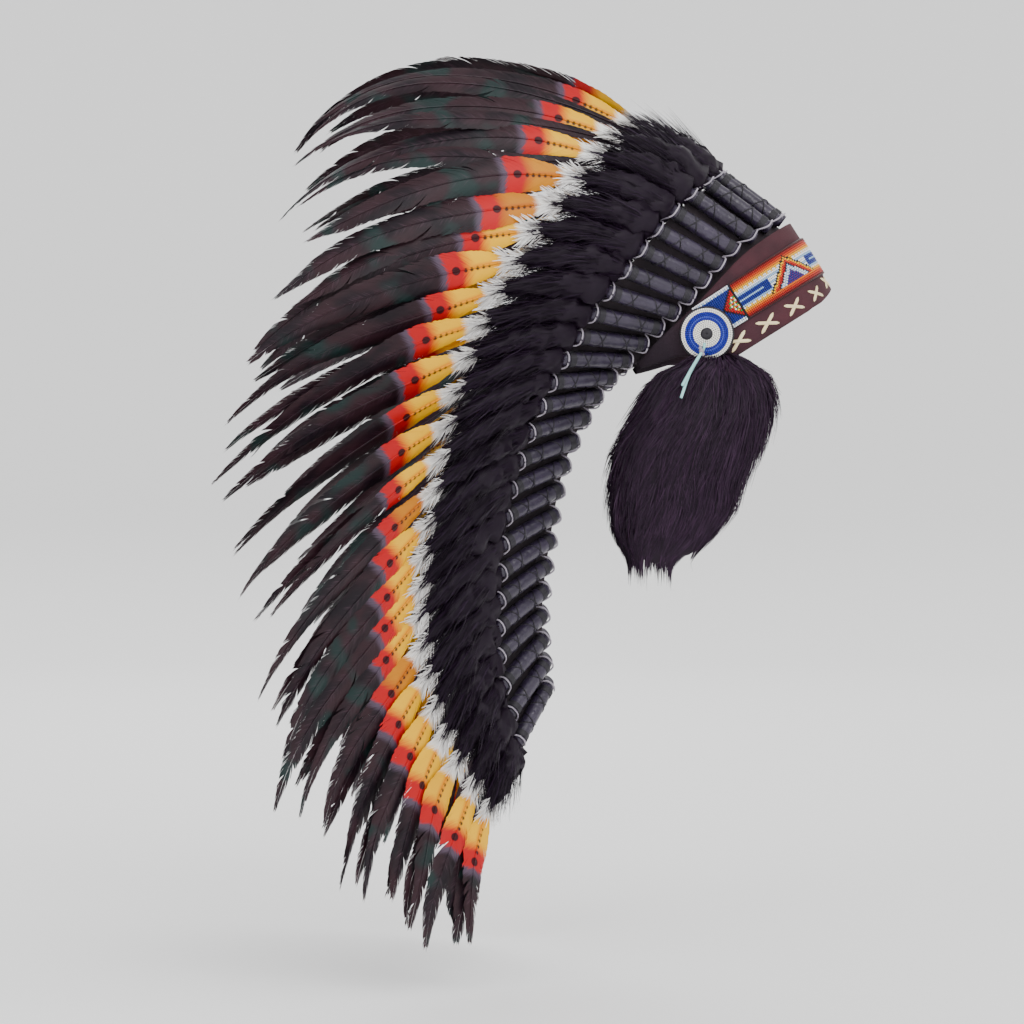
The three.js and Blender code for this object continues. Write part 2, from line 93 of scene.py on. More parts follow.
class Shape:
    """Sheets of points gathered for one mesh. Each point has a place (across, along, seed) and a
    tone that its material reads."""

    def __init__(self):
        self.points, self.faces, self.places, self.tones, self.looks = [], [], [], [], []
        self.count = 0

    def sheets(self, grid, place=(0, 0, 0), tone=0.5, look=0, closed=False):
        """Adds grids of points, shaped (..., rows, columns, 3), each as a sheet."""
        grid = np.asarray(grid, float)
        rows, columns = grid.shape[-3:-1]
        index = np.arange(rows * columns).reshape(rows, columns)
        if closed:
            index = np.concatenate([index, index[:, :1]], axis=1)
        corners = [index[:-1, :-1], index[:-1, 1:], index[1:, 1:], index[1:, :-1]]
        quads = np.stack(corners, -1).reshape(1, -1, 4)
        copies = grid.size // (3 * rows * columns)
        starts = self.count + rows * columns * np.arange(copies)
        self.faces.append((quads + starts[:, None, None]).reshape(-1, 4))
        self.looks.append(np.full(quads.shape[1] * copies, look))
        self.points.append(grid.reshape(-1, 3))
        self.places.append(np.broadcast_to(place, grid.shape).reshape(-1, 3))
        self.tones.append(np.broadcast_to(tone, grid.shape[:-1]).ravel())
        self.count += rows * columns * copies

    def tube(self, path, radius, sides=6, **more):
        """Adds tubes round paths shaped (..., points, 3), closed to a point at both ends."""
        path = np.asarray(path, float)
        along = unit(np.gradient(path, axis=-2))
        upright = np.abs(along[..., 2:]) > 0.9
        aside = unit(np.cross(along, np.where(upright, [1.0, 0, 0], [0, 0, 1.0])))
        up = np.cross(aside, along)
        radius = np.broadcast_to(radius, path.shape[:-1]).copy()
        radius[..., 0] = radius[..., -1] = CLOSED_END
        turn = turns(sides)[:, None]
        ring = np.cos(turn) * aside[..., None, :] + np.sin(turn) * up[..., None, :]
        self.sheets(path[..., None, :] + ring * radius[..., None, None], closed=True, **more)

    def strands(self, path, facing, width, **more):
        """Adds flat strands along paths (..., points, 3), with their flat sides to a direction."""
        along = unit(np.gradient(path, axis=-2))
        aside = unit(np.cross(along, facing)) * np.asarray(width)[..., None] / 2
        self.sheets(np.stack([path - aside, path + aside], -2), **more)


def add_attribute(data, name, kind, field, values):
    """Gives each point of a mesh a value that its material reads."""
    made = data.attributes.new(name, kind, "POINT")
    made.data.foreach_set(field, np.ravel(values).astype(np.float32))


def mesh_object(name, shape, looks, side=1):
    """Makes an object of a shape, mirrored to the wearer's right if side is -1."""
    points = np.concatenate(shape.points) * MM
    faces = np.concatenate(shape.faces)
    if side < 0:
        points = points * [-1, 1, 1]
        faces = faces[:, ::-1]
    data = bpy.data.meshes.new(name)
    data.vertices.add(len(points))
    data.vertices.foreach_set("co", points.ravel().astype(np.float32))
    data.loops.add(faces.size)
    data.loops.foreach_set("vertex_index", faces.ravel().astype(np.int32))
    data.polygons.add(len(faces))
    data.polygons.foreach_set("loop_start", np.arange(0, faces.size, 4, dtype=np.int32))
    data.polygons.foreach_set("material_index", np.concatenate(shape.looks).astype(np.int32))
    data.update(calc_edges=True)
    data.polygons.foreach_set("use_smooth", np.ones(len(faces), bool))
    add_attribute(data, "place", "FLOAT_VECTOR", "vector", np.concatenate(shape.places))
    add_attribute(data, "tone", "FLOAT", "value", np.concatenate(shape.tones))
    for look in looks:
        data.materials.append(look)
    made = bpy.data.objects.new(name, data)
    bpy.context.scene.collection.objects.link(made)
    return made


def piece(name, shape, looks, replaces=(), side=1):
    """Makes a piece of the headdress, in place of the solids that it replaces."""
    made = mesh_object(name, shape, looks, side)
    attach(made, "root")
    if replaces:
        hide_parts(*replaces)
    return made


# ---- Places on the headdress ----


def ring_point(angle, height, outset):
    """A point by its angle round the head ring from the front, height over it and distance out."""
    angle, height, outset = np.broadcast_arrays(angle, height, outset)
    along = (RING_LENGTH + outset) * np.cos(angle)
    forward = along * TILT_COS - height * TILT_SIN
    up = along * TILT_SIN + height * TILT_COS
    return np.stack([(RING_WIDTH + outset) * np.sin(angle), -forward, up], -1)


def ring_angles(spacing, limit, outset=0):
    """Angles from 0 to a limit, evenly spaced in mm along the ring."""
    fine = np.linspace(0, limit, 2000)
    steps = np.linalg.norm(np.diff(ring_point(fine, 0, outset), axis=0), axis=1)
    length = np.concatenate([[0], np.cumsum(steps)])
    return np.interp(np.arange(0, length[-1], spacing), length, fine)


def on_ring(point):
    """The angle and the height on the ring of points near it."""
    along = -point[..., 1] * TILT_COS + point[..., 2] * TILT_SIN
    height = point[..., 1] * TILT_SIN + point[..., 2] * TILT_COS
    return np.arctan2(point[..., 0] / RING_WIDTH, along / RING_LENGTH), height


def plume_value(name, number):
    """A column of the plume table at any number, smooth through its rows."""
    places, values = PLUME_TABLE[:, 0], PLUME_TABLE[:, PLUME_COLUMNS.index(name)]
    last = len(places) - 1
    before, after = np.maximum(np.arange(-1, last), 0), np.minimum(np.arange(1, last + 2), last)
    slopes = (values[after] - values[before]) / (places[after] - places[before])
    row = min(last - 1, int(np.searchsorted(places, number, "right")) - 1)
    span = places[row + 1] - places[row]
    t = (number - places[row]) / span
    return (
        (2 * t**3 - 3 * t**2 + 1) * values[row]
        + (t**3 - 2 * t**2 + t) * span * slopes[row]
        + (3 * t**2 - 2 * t**3) * values[row + 1]
        + (t**3 - t**2) * span * slopes[row + 1]
    )


def plume_start(number):
    side, forward, up = (plume_value(name, number) for name in ("side", "forward", "up"))
    return np.array([side, -forward, up])


def heading(lean, flare):
    """A direction by its degrees up and back from straight ahead and its degrees to the side."""
    lean, flare = np.radians(lean), np.radians(flare)
    return np.stack([np.sin(flare), -np.cos(flare) * np.cos(lean), np.cos(flare) * np.sin(lean)], -1)


def wrap_middle(number):
    way = heading(plume_value("wrap", number), plume_value("flare", number))
    return plume_start(number) + way * WRAP / 2


class Shaft:
    """A plume's shaft, with a place and two directions at distances along it. The middle of the
    feather's paint is at the distance painted."""

    STEP, OVERRUN = 3, 40

    def __init__(self, number):
        value = {name: plume_value(name, number) for name in PLUME_COLUMNS[1:]}
        self.number = number
        self.reach, self.sweep = value["reach"], value["sweep"]
        self.painted = WRAP + self.reach
        length = self.painted + self.sweep
        ats = [0, WRAP, WRAP + 0.5 * self.reach, length - 0.55 * self.sweep, length]
        leans = [value[name] for name in ("wrap", "wrap", "down", "vane", "tip")]
        flares = value["flare"] * np.array([1, 1, 0.9, 0.6, 0.35])
        self.at = np.arange(0, length + self.OVERRUN, self.STEP, dtype=float)
        middles = self.at[:-1] + self.STEP / 2
        ways = heading(np.interp(middles, ats, leans), np.interp(middles, ats, flares))
        start = plume_start(number)
        self.point = np.concatenate([[start], start + np.cumsum(ways * self.STEP, axis=0)])
        along = heading(np.interp(self.at, ats, leans), np.interp(self.at, ats, flares))
        row = unit(wrap_middle(number + 0.02) - wrap_middle(number - 0.02))
        self.across = unit(row - (along @ row)[:, None] * along)
        self.out = np.cross(self.across, along)

    def read(self, table, at):
        return np.stack([np.interp(at, self.at, table[:, i]) for i in range(3)], -1)

    def place(self, at, across=0.0, out=0.0):
        """Points by their distance along the shaft, to its side and out from it."""
        at, across, out = np.broadcast_arrays(at, across, out)
        return (
            self.read(self.point, at)
            + self.read(self.across, at) * across[..., None]
            + self.read(self.out, at) * out[..., None]
        )


SHAFTS = {number: Shaft(number) for number in range(LAST_PLUME + 1)}


def room_at(shaft, at):
    """Half the way across to the nearer neighbour, at a distance along a shaft."""
    point, across = shaft.place(at), shaft.read(shaft.across, at)
    found = []
    for other in (shaft.number - 1, shaft.number + 1):
        if shaft.number == 0 or other in SHAFTS:
            neighbour = SHAFTS[abs(other)].place(at)
            found.append(np.abs(np.sum((neighbour - point) * across, -1)) / 2)
    return np.min(found, axis=0)


# ---- Materials ----


def new_look(name, rough, colour=(0.5, 0.5, 0.5), **shader):
    """Makes a material. Returns it with its node tree and its shader node."""
    look = bpy.data.materials.new(name)
    look.use_nodes = True
    tree = look.node_tree
    main = tree.nodes["Principled BSDF"]
    main.inputs["Base Color"].default_value = (*colour, 1)
    main.inputs["Roughness"].default_value = rough
    for socket, value in shader.items():
        main.inputs[socket.replace("_", " ")].default_value = value
    return look, tree, main


def node(tree, kind, inputs=(), **settings):
    made = tree.nodes.new(kind)
    for name, value in settings.items():
        setattr(made, name, value)
    for socket, value in dict(inputs).items():
        if isinstance(value, bpy.types.NodeSocket):
            tree.links.new(value, made.inputs[socket])
        else:
            made.inputs[socket].default_value = value
    return made


def maths(tree, operation, first, second=0.0, third=0.0, clamp=False):
    inputs = {0: first, 1: second, 2: third}
    return node(tree, "ShaderNodeMath", inputs, operation=operation, use_clamp=clamp).outputs[0]


def attribute(tree, name, output="Vector"):
    return node(tree, "ShaderNodeAttribute", attribute_name=name).outputs[output]


def step_between(tree, value, low, high, rise=1.0):
    """0 at low and beyond it, rise at high and beyond it, and smooth between."""
    inputs = {"Value": value, "From Min": low, "From Max": high, "To Max": rise}
    return node(tree, "ShaderNodeMapRange", inputs, interpolation_type="SMOOTHSTEP").outputs[0]


def mixed(tree, share, first, second):
    made = node(tree, "ShaderNodeMix", data_type="RGBA")
    for socket, value in ((made.inputs[0], share), (made.inputs[6], first), (made.inputs[7], second)):
        if isinstance(value, bpy.types.NodeSocket):
            tree.links.new(value, socket)
        else:
            socket.default_value = (*value, 1)
    return made.outputs[2]


def noise(tree, vector, scale, detail, stretch=None):
    if stretch is not None:
        inputs = {0: vector, 1: stretch}
        vector = node(tree, "ShaderNodeVectorMath", inputs, operation="MULTIPLY").outputs[0]
    inputs = {"Vector": vector, "Scale": scale, "Detail": detail}
    return node(tree, "ShaderNodeTexNoise", inputs).outputs["Fac"]


def bump(tree, main, height, distance, strength):
    inputs = {"Height": height, "Distance": distance * MM, "Strength": strength}
    made = node(tree, "ShaderNodeBump", inputs)
    tree.links.new(made.outputs[0], main.inputs["Normal"])


WHITE, YELLOW, ORANGE = (0.86, 0.84, 0.80), (0.82, 0.43, 0.0), (0.62, 0.10, 0.001)
# The grey-lilac rim colour is a painted glint: light painted where the red meets the black vane.
RED, RUST, PAINTED_GLINT_RIM = (0.44, 0.003, 0.006), (0.36, 0.06, 0.003), (0.075, 0.050, 0.078)
VANE_BLACK, VANE_BROWN = (0.004, 0.001, 0.004), (0.022, 0.007, 0.011)
# The shine colour is a painted sheen: highlights on the barbs painted into the colour.
VANE_TEAL, PAINTED_VANE_SHEEN = (0.007, 0.020, 0.019), (0.090, 0.046, 0.068)

# The bands of a long feather, each by where it starts to show and where it is full, in mm past the
# middle of its paint, and its dots by their place and radius. The small dots stand beside the shaft.
# The rim band between the red and the black is a painted glint, not a colour of the feather.
WHITE_FROM, ORANGE_FROM, RED_FROM, GLINT_RIM_FROM, BLACK_FROM = (-20, -27), (-3, 8), (5, 10), (21, 24), (25, 31)
SMALL_DOTS, SPOT = [(-15, 1.0), (-10, 1.2), (-5, 1.3), (0, 1.4), (5, 1.5)], (13, 3.4)
DOTS_ASIDE = 1.2


def feather_look():
    """The long feathers. The place attribute holds the distance across and past the middle of the
    paint, and a seed. The paint follows the barbs, so its edges are notched at the shaft."""
    look, tree, main = new_look("feather", 0.45, Specular_IOR_Level=0.22)
    place = attribute(tree, "place")
    across, past, seed = node(tree, "ShaderNodeSeparateXYZ", {0: place}).outputs
    tone = attribute(tree, "tone", "Fac")

    def own_value(factor, axis, detail):
        """A value that differs from feather to feather."""
        inputs = {axis: maths(tree, "MULTIPLY", seed, factor)}
        return noise(tree, node(tree, "ShaderNodeCombineXYZ", inputs).outputs[0], 1.0, detail)

    side = maths(tree, "ABSOLUTE", across)
    barb = maths(tree, "MULTIPLY_ADD", side, -1.1, past)
    lines = {0: barb, 1: maths(tree, "MULTIPLY", side, 0.06), 2: seed}
    fine = noise(tree, node(tree, "ShaderNodeCombineXYZ", lines).outputs[0], 1.3, 3.0)
    ragged = maths(tree, "MULTIPLY_ADD", fine, 9.0, -4.5)
    shift = maths(tree, "MULTIPLY_ADD", own_value(3.1, 0, 0.0), 22.0, -11.0)
    shifted = maths(tree, "ADD", past, shift)
    y = maths(tree, "ADD", maths(tree, "MULTIPLY_ADD", side, -0.25, shifted), ragged)

    near_shaft = step_between(tree, side, 4.0, 1.0, 0.45)
    warm = maths(tree, "MAXIMUM", near_shaft, step_between(tree, y, *ORANGE_FROM))
    colour = mixed(tree, warm, YELLOW, ORANGE)
    rusty = step_between(tree, own_value(7.3, 2, 2.0), 0.55, 0.6)
    colour = mixed(tree, maths(tree, "MULTIPLY", rusty, 0.7), colour, RUST)
    colour = mixed(tree, step_between(tree, y, *WHITE_FROM), colour, WHITE)
    colour = mixed(tree, step_between(tree, y, *RED_FROM), colour, RED)
    for at, radius in (*SMALL_DOTS, SPOT):
        offset = 0.0 if (at, radius) == SPOT else DOTS_ASIDE
        x_far = maths(tree, "POWER", maths(tree, "SUBTRACT", across, offset), 2.0)
        y_far = maths(tree, "POWER", maths(tree, "SUBTRACT", past, at), 2.0)
        far = maths(tree, "SQRT", maths(tree, "ADD", x_far, y_far))
        dot = step_between(tree, far, radius + 0.6, radius - 0.5, 0.92)
        colour = mixed(tree, dot, colour, VANE_BLACK)

    brown = step_between(tree, noise(tree, place, 0.045, 2.0, (1.0, 0.5, 40.0)), 0.35, 0.62)
    teal = step_between(tree, noise(tree, place, 0.03, 1.0, (1.0, 1.0, 31.0)), 0.55, 0.7)
    vane = mixed(tree, teal, mixed(tree, brown, VANE_BLACK, VANE_BROWN), VANE_TEAL)
    # Painted sheen: lighter streaks on the barbs near the shaft stand in for light on the vane.
    painted_sheen = step_between(tree, fine, 0.45, 0.8)
    painted_sheen = maths(tree, "MULTIPLY", painted_sheen, step_between(tree, side, 7, 1))
    vane = mixed(tree, maths(tree, "MULTIPLY", painted_sheen, tone), vane, PAINTED_VANE_SHEEN)
    # Painted glint: a grey-lilac band between the red paint and the black vane stands in for light.
    vane = mixed(tree, step_between(tree, y, *BLACK_FROM), PAINTED_GLINT_RIM, vane)
    colour = mixed(tree, step_between(tree, y, *GLINT_RIM_FROM), colour, vane)
    tree.links.new(colour, main.inputs["Base Color"])
    bump(tree, main, fine, 0.25, 0.4)
    return look


def strand_look(name, dark, light, rough):
    """Down or fur: dark, with a tone of its own to each strand."""
    look, tree, main = new_look(name, rough, Specular_IOR_Level=0.2)
    tone = attribute(tree, "tone", "Fac")
    grain = noise(tree, node(tree, "ShaderNodeTexCoord").outputs["Object"], 120.0, 1.0)
    share = maths(tree, "MULTIPLY", tone, maths(tree, "MULTIPLY_ADD", grain, 1.2, 0.35), clamp=True)
    tree.links.new(mixed(tree, share, dark, light), main.inputs["Base Color"])
    return look


def leather_look(name, dark, light, rough, scale, depth, painted_shade=None):
    """Leather or suede, with pores, a slow change of colour and, by the tone, a painted shade."""
    look, tree, main = new_look(name, rough)
    where = node(tree, "ShaderNodeTexCoord").outputs["Object"]
    slow, grain = noise(tree, where, 45.0, 1.0), noise(tree, where, scale, 3.0)
    share = maths(tree, "MULTIPLY_ADD", slow, 1.4, -0.2, clamp=True)
    pores = maths(tree, "MULTIPLY_ADD", grain, 0.5, -0.1, clamp=True)
    colour = mixed(tree, pores, mixed(tree, share, dark, light), light)
    # A painted shade, mixed in by the tone.
    if painted_shade is not None:
        colour = mixed(tree, attribute(tree, "tone", "Fac"), colour, painted_shade)
    tree.links.new(colour, main.inputs["Base Color"])
    uneven = maths(tree, "MULTIPLY_ADD", grain, 0.3, rough - 0.15, clamp=True)
    tree.links.new(uneven, main.inputs["Roughness"])
    bump(tree, main, grain, depth, 0.7)
    return look


def bead_look():
    """Opaque glass beads, each in the colour that its mesh gives it."""
    look, tree, main = new_look("beads", 0.28, Specular_IOR_Level=0.35)
    bead = attribute(tree, "bead", "Color")
    grain = noise(tree, node(tree, "ShaderNodeTexCoord").outputs["Object"], 900.0, 1.0)
    inputs = {0: bead, 1: maths(tree, "MULTIPLY_ADD", grain, 0.3, 0.85)}
    shaded = node(tree, "ShaderNodeVectorMath", inputs, operation="MULTIPLY").outputs[0]
    tree.links.new(shaded, main.inputs["Base Color"])
    return look


FEATHER = feather_look()
DOWN = strand_look("down", (0.005, 0.001, 0.006), (0.018, 0.007, 0.023), 0.55)
FLUFF = strand_look("white_fluff", (0.60, 0.57, 0.56), (0.95, 0.94, 0.92), 0.7)
FUR = strand_look("fur", (0.006, 0.001, 0.007), (0.036, 0.014, 0.038), 0.5)
# Dark and light colour, roughness, and the scale and the depth of the pores.
WRAP_LEATHER = leather_look("wrap_leather", (0.008, 0.005, 0.013), (0.036, 0.026, 0.052), 0.33, 260.0, 0.9)
# The suede's last colour is a painted shade, used towards the rear of the ring.
SUEDE = leather_look(
    "suede", (0.020, 0.004, 0.008), (0.080, 0.016, 0.024), 0.9, 900.0, 0.3, painted_shade=(0.010, 0.004, 0.011)
)
BACKING = leather_look("backing_cloth", (0.008, 0.005, 0.008), (0.03, 0.02, 0.026), 0.9, 1100.0, 0.3)
THREAD = leather_look("dark_thread", (0.003, 0.002, 0.005), (0.012, 0.009, 0.016), 0.6, 1500.0, 0.1)
CREAM = leather_look("cream_lace", (0.70, 0.52, 0.26), (0.93, 0.82, 0.50), 0.7, 800.0, 0.2)
PALE = leather_look("pale_lace", (0.16, 0.13, 0.18), (0.46, 0.42, 0.48), 0.5, 800.0, 0.2)
TURQUOISE = leather_look("turquoise_lace", (0.16, 0.50, 0.50), (0.44, 0.80, 0.76), 0.7, 900.0, 0.2)
BEAD = bead_look()


# ---- The plumes ----

# Half a vane's width by its share of the length: the painted feather is full in its paint, the
# dark one widens more slowly, and both end in the same point.
PAINTED_BLADE = [(0, 5), (0.05, 11), (0.12, 14), (0.2, 14), (0.3, 12), (0.5, 10.5)]
DARK_BLADE = [(0, 1.5), (0.2, 6), (0.45, 10.5)]
TAPER_WIDTH, BLADE_POINT = 8.0, [(0.9, 3.6), (1, 0.8)]

# How far apart clumps of barbs leave the shaft, and how wide and how long the splits are.
BARB_PITCH, SPLIT_WIDTH, SPLIT_REACH, SHAFT_RADII = 2.6, (1.5, 4.5), (6, 16), (0.95, 0.3)

# The bush of down by its share of the length: half its depth, and how much of its room it fills.
DOWN_ROWS = [
    (-0.03, 5.5, 0.85),
    (0.05, 8, 1.1),
    (0.2, 11, 1.15),
    (0.4, 12.5, 1.1),
    (0.58, 10, 0.9),
    (0.74, 6.5, 0.65),
    (0.88, 3.5, 0.4),
    (1.0, 1.5, 0.15),
]
DOWN_SHARES, DOWN_DEEP, DOWN_FILL = np.array(DOWN_ROWS).T
DOWN_WIDEST = 14
DOWN_STRANDS, FLUFF_STRANDS = 410, 80

# The stem wrap by its distance along the shaft and its radius, and the thread wound round it.
WRAP_ROWS = [
    (-0.5, 0.1), (-0.5, 5.4), (4, 5.9), (11, 6.1), (18, 6.4), (33, 6.5),
    (48, 6.4), (56, 6.1), (62, 5.8), (66.5, 5.3), (66.5, 0.1),
]
WINDING_PITCH, WINDINGS, WINDINGS_AT = 1.5, 4, (5.5, 54.5)
LACE_LOWER, LACE_UPPER = 2.6, 63.4


def seeded(first, side, number=0):
    """Random numbers of a piece's own, the same in every run."""
    return np.random.default_rng(first + 2 * number + (side > 0))


def smooth_path(points, count):
    """A smooth curve through points, evenly spaced."""
    points = np.array(points, float)
    padded = np.concatenate([2 * points[:1] - points[1:2], points, 2 * points[-1:] - points[-2:-1]])
    t = np.linspace(0, 1, 12, endpoint=False)[:, None]
    parts = []
    for i in range(len(points) - 1):
        a, b, c, d = padded[i : i + 4]
        bend, twist = 2 * a - 5 * b + 4 * c - d, 3 * b - a - 3 * c + d
        parts.append(0.5 * (2 * b + (c - a) * t + bend * t**2 + twist * t**3))
    line = np.concatenate(parts + [points[-1:]])
    length = np.concatenate([[0], np.cumsum(np.linalg.norm(np.diff(line, axis=0), axis=1))])
    even = np.linspace(0, length[-1], count)
    return np.stack([np.interp(even, length, line[:, i]) for i in range(3)], -1)


def drifted(at, rng, size, wave):
    """A slow wander of a given size along a length."""
    knots = np.arange(np.min(at) - wave, np.max(at) + 2 * wave, wave)
    return np.interp(at, knots, rng.normal(0, size, len(knots)))


def vane_width(blade, size, taper):
    """Gives half the width of a vane at shares of its length. It comes to a point from taper."""
    shares, widths = np.array([*blade, (taper, TAPER_WIDTH), *BLADE_POINT]).T
    return lambda share: size * np.interp(share, shares, widths)


def add_vane(
    shape, shaft, rng, start, end, half_width,
    bend, lift, arch, roll, behind=0.0, over=None, past_paint=0,
):
    """A feather's vane of barbs in clumps, split here and there, and its shaft. It is bent to its
    side, lifted at its tip, arched and rolled about its shaft. It can lie behind the plume's line,
    over to its side, and past the paint."""
    seed, wave = rng.random() * 50, rng.normal(0, 2.2)
    length, paint_at = end - start, shaft.painted - past_paint

    def lay(at, across, out):
        share = np.clip((at - start) / length, 0, 1.2)
        aside = bend * share**2 + wave * np.sin(2 * np.pi * share)
        if over is not None:
            aside = aside + over(at)
        raised = lift * share**2 + arch * np.sin(np.pi * np.minimum(share, 1)) - behind
        turned_across = across * np.cos(roll) + out * np.sin(roll)
        turned_out = out * np.cos(roll) - across * np.sin(roll)
        return shaft.place(at, turned_across + aside, turned_out + raised)

    bases = np.arange(start, end - 4, BARB_PITCH)
    count = len(bases)
    q = np.linspace(0, 1, 4)[:, None]
    for hand in (-1, 1):
        wide = half_width((bases - start) / length) * (1 + 0.03 * rng.normal(size=count))
        wide = wide[:, None, None]
        opened = np.zeros(count)
        for split in rng.uniform(start + 0.3 * length, end, rng.integers(1, 4)):
            far, width, reach = bases - split, rng.uniform(*SPLIT_WIDTH), rng.uniform(*SPLIT_REACH)
            opened += np.sign(far) * width * np.exp(-np.abs(far) / reach)
        opened += drifted(bases, rng, 0.7, 12)
        forward = 0.8 * wide * (q + q**2) + opened[:, None, None] * q**2
        frays = rng.uniform(0.0, 1.0, count) ** 4 * np.interp(bases, [start, end], [0.2, 1.0])
        cover = 1.16 - frays[:, None, None] * q**2
        at = bases[:, None, None] + forward + BARB_PITCH * np.array([-0.5, 0.5]) * cover
        across = hand * (0.3 + wide * q * (1.12 - 0.12 * q)) + 0 * at
        out = rng.normal(0, 0.15, (count, 1, 1)) * q - 0.14 * wide * q**2 + 0 * at
        place = np.stack([across, at - paint_at, np.full(at.shape, seed)], -1)
        tone = np.broadcast_to(rng.random((count, 1, 1)), at.shape)
        shape.sheets(lay(at, across, out), place=place, tone=tone)
    ats = np.linspace(start - 12, end, 34)
    place = np.stack([0 * ats, ats - paint_at, 0 * ats + seed], -1)[:, None, :]
    radius = np.linspace(*SHAFT_RADII, len(ats))
    shape.tube(lay(ats, 0.0, 0.25), radius, sides=4, place=place, tone=0.6)


def make_feathers(shape, shaft, rng):
    """The long painted feather, and the dark one behind it, half way over to the next plume."""
    number = shaft.number
    clip = (0.9 if number % 3 == 1 else 1.0) * rng.uniform(0.9, 1.04)
    crest = np.interp(number, [0, 2, 6], [1, 0.8, 0])
    roll = math.radians(np.interp(number, [0, 2, 5], [52, 42, -9]) + rng.uniform(-5, 5))
    pose = {"lift": 26 * crest + rng.uniform(-5, 3), "arch": 9 * crest, "roll": roll}
    blade = vane_width(PAINTED_BLADE, rng.uniform(0.8, 1.12), rng.uniform(0.5, 0.8))
    bend = rng.uniform(-20, 20)
    start, end = shaft.painted - 38, shaft.painted + clip * shaft.sweep
    add_vane(shape, shaft, rng, start, end, blade, bend=bend, **pose)

    dark_start = shaft.painted - 0.42 * shaft.reach
    dark_end = shaft.painted + (0.88 if number % 2 else 0.78) * shaft.sweep

    def between(at):
        return room_at(shaft, at) * np.interp(at, [dark_start, shaft.painted + 30], [0, 1])

    blade = vane_width(DARK_BLADE, rng.uniform(0.8, 1.15), rng.uniform(0.55, 0.8))
    pose |= {"bend": rng.uniform(-18, 18), "behind": 5.5, "over": between if number else None}
    add_vane(shape, shaft, rng, dark_start, dark_end, blade, past_paint=400, **pose)


def down_size(shaft, share, end):
    """Half the width and half the depth of the down, at shares of its length."""
    room = np.minimum(DOWN_WIDEST, room_at(shaft, WRAP + share * end) + 1.5)
    return np.interp(share, DOWN_SHARES, DOWN_FILL) * room, np.interp(share, DOWN_SHARES, DOWN_DEEP)


def add_down_core(shape, shaft, rng, end):
    share = np.linspace(-0.03, 0.95, 14)
    turn = turns(12)
    wide, deep = down_size(shaft, share, end)
    rough = 1 + 0.18 * rng.normal(size=(len(share), len(turn)))
    rough[0] = rough[-1] = 0.05
    across, out = wide[:, None] * np.cos(turn) * rough, deep[:, None] * np.sin(turn) * rough
    shape.sheets(shaft.place(WRAP + share[:, None] * end, across, out), tone=0.15, closed=True)


def add_down_strands(shape, shaft, rng, end):
    """Strands that lie along the plume, from the wrap to the white fluff."""
    count, q = DOWN_STRANDS, np.linspace(0, 1, 5)
    share = rng.uniform(-0.22, 0.97, count)
    share = np.where(share < 0, -0.02 - 0.2 * share, share)
    foot = WRAP + share * end
    angle = rng.uniform(0, 2 * np.pi, count)
    length = rng.uniform(20, 40, count) * np.interp(share, [0.7, 1], [1.0, 0.75])
    spread = rng.uniform(0.12, 0.45, count)
    ahead = shaft.painted - 33 + rng.uniform(-6, 9, count) - foot
    length = np.clip(length, 6, np.maximum(ahead, 6))
    size = 0.75 + (length * spread)[:, None] * q**0.8 / 12
    wide, deep = down_size(shaft, share, end)
    wiggle = rng.normal(0, 0.8, (count, len(q))) * q
    across = (wide * np.cos(angle))[:, None] * size + wiggle
    out = (deep * np.sin(angle))[:, None] * size + wiggle[:, ::-1] * q
    path = shaft.place(foot[:, None] + length[:, None] * q, across, out)
    facing = unit(path[:, :1] - shaft.place(foot)[:, None, :])
    width = rng.uniform(0.7, 1.3, count)[:, None] * (1 - 0.9 * q**2)
    shape.strands(path, facing, width, tone=rng.random((count, 1, 1)) ** 2)


def add_fluff(shape, shaft, rng):
    """The white roots of the long feather, loose over the start of its paint."""
    count, q = FLUFF_STRANDS, np.linspace(0, 1, 5)
    foot = shaft.painted + rng.uniform(-48, -30, count)
    length = rng.uniform(10, 17, count)
    hand = np.where(rng.random(count) < 0.5, -1, 1)
    reach = hand * rng.uniform(1.5, 14, count)
    at = foot[:, None] + length[:, None] * (0.8 * q + 0.2 * q**2)
    across = 0.5 * hand[:, None] + reach[:, None] * q**0.8 + rng.normal(0, 0.4, (count, len(q))) * q
    out = 1.2 + rng.uniform(-1.5, 3.5, count)[:, None] * q
    width = rng.uniform(0.9, 1.7, count)[:, None] * (1 - 0.85 * q**2)
    path = shaft.place(at, across, out)
    shape.strands(path, shaft.read(shaft.out, at), width, tone=rng.random((count, 1, 1)), look=1)


def make_down(shape, shaft, rng):
    """The bush of dark down, with the white roots of the long feather at its outer end."""
    end = shaft.reach - 32
    add_down_core(shape, shaft, rng, end)
    add_down_strands(shape, shaft, rng, end)
    add_fluff(shape, shaft, rng)


def make_wrap(shape, shaft, rng):
    """The leather-wrapped stem, with thread wound round both ends and crossed between them."""

    def around(at, radius, angle):
        return shaft.place(at, radius * np.cos(angle), radius * np.sin(angle))

    def lathe(rows, look, tone=0.5):
        ats, radii = np.array(rows, float).T
        shape.sheets(around(ats[:, None], radii[:, None], turns(16)), look=look, tone=tone, closed=True)

    lathe(WRAP_ROWS, 0, rng.random())
    for low in WINDINGS_AT:
        rows = [(low, 5.6)]
        for at in low + WINDING_PITCH * np.arange(WINDINGS):
            rows += [(at + 0.2, 6.5), (at + 0.75, 6.85), (at + 1.3, 6.5)]
        lathe([*rows, (low + WINDING_PITCH * WINDINGS, 5.6)], 1)
    q = np.linspace(0, 1, 37)
    for hand in (-1, 1):
        angle = np.pi / 2 + hand * 4 * np.pi * (q - 0.25)
        shape.tube(around(11 + 44 * q, 6.55, angle), 0.6, sides=4, look=1)


